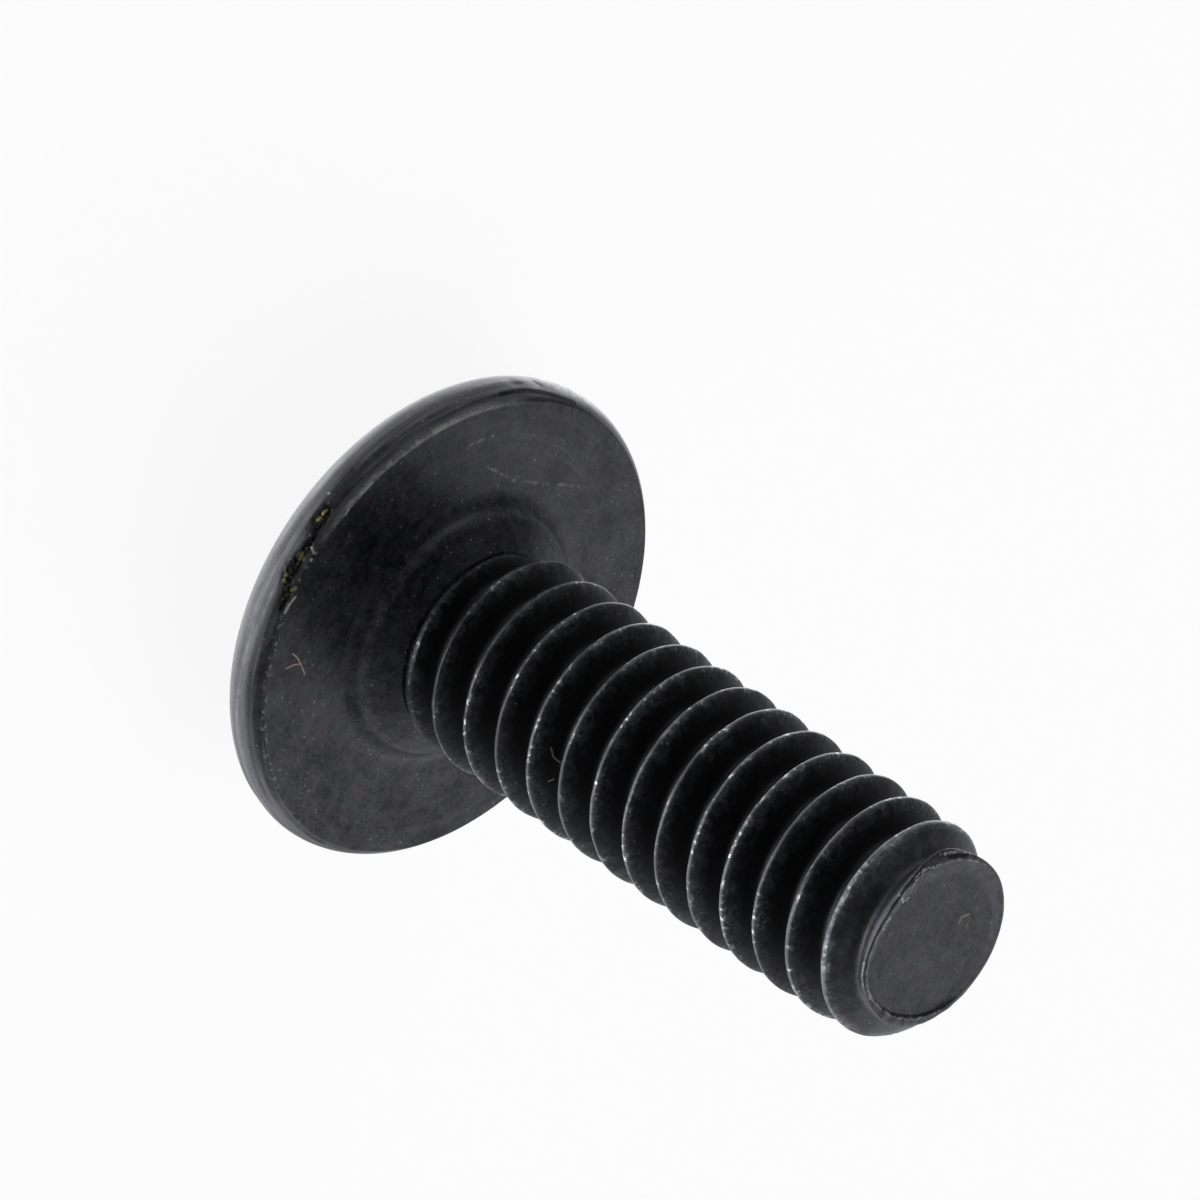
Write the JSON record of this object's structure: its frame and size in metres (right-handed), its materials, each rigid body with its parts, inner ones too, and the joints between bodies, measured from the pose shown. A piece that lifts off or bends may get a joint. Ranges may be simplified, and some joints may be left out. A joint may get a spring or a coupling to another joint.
{
  "type": "truss-head machine screw",
  "caption": "Black oxide steel machine screw with a wide low truss head, a plain cross recess, a collar under the head and a right-hand thread along the whole shank.",
  "frame": {"origin": "middle of the crown, on the screw's axis, at the plane that it stands on", "axes": "+Z along the axis from the crown to the tip; the screw stands on its head; -Y faces the side that the picture shows"},
  "size_m": [0.014, 0.014, 0.0222],
  "materials": {
    "black_oxide_steel": "satin black oxide with bare worn crests and a little dust"
  },
  "bodies": {
    "root": {"screw": "black_oxide_steel"}
  },
  "joints": []
}
